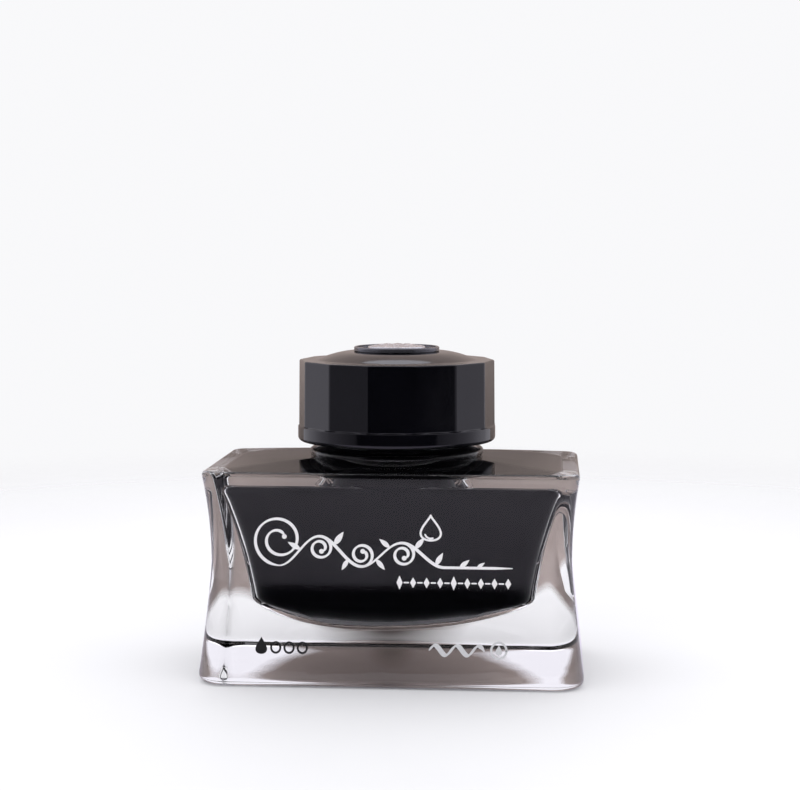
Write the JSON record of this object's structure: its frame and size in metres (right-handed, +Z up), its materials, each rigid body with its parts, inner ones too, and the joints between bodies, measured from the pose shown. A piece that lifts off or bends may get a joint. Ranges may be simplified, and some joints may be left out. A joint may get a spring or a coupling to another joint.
{
  "type": "ink bottle",
  "caption": "Desk ink bottle for fountain pens: heavy clear glass block with waisted sides, black ink inside, under a faceted black screw cap with a domed top and a raised medallion.",
  "frame": {"origin": "centre of the base, on the table the bottle stands on", "axes": "+Z up along the neck and cap axis, +X along the bottle's width, -Y out of the printed front face"},
  "size_m": [0.08, 0.0456, 0.0694],
  "materials": {
    "clear_glass": "fire-polished clear",
    "black_ink": "wet, opaque",
    "black_gloss_plastic": "high gloss",
    "black_thread_plastic": "as moulded",
    "white_foam": "matte foam sheet",
    "dark_enamelled_metal": "satin dark enamel",
    "satin_silver": "satin silver"
  },
  "bodies": {
    "bottle": {"glass_bottle": "clear_glass", "ink": "black_ink"},
    "liner": {"seal_liner": "white_foam"},
    "cap": {"cap_shell": "black_gloss_plastic", "cap_thread_insert": "black_thread_plastic", "medallion_bezel": "dark_enamelled_metal", "medallion_emblem": "satin_silver"}
  },
  "joints": [
    {"name": "cap_lift", "type": "slide", "parent": "bottle", "child": "liner", "axis": [0, 0, 1], "range_m": [0, 0.017]},
    {"name": "cap_turn", "type": "hinge", "parent": "liner", "child": "cap", "pos_m": [0, 0, 0.0575], "axis": [0, 0, 1], "range_deg": [0, 1440]}
  ],
  "couplings": [
    {"joint": "cap_lift", "follows": "cap_turn", "m_per_rad": 0.00067322}
  ]
}
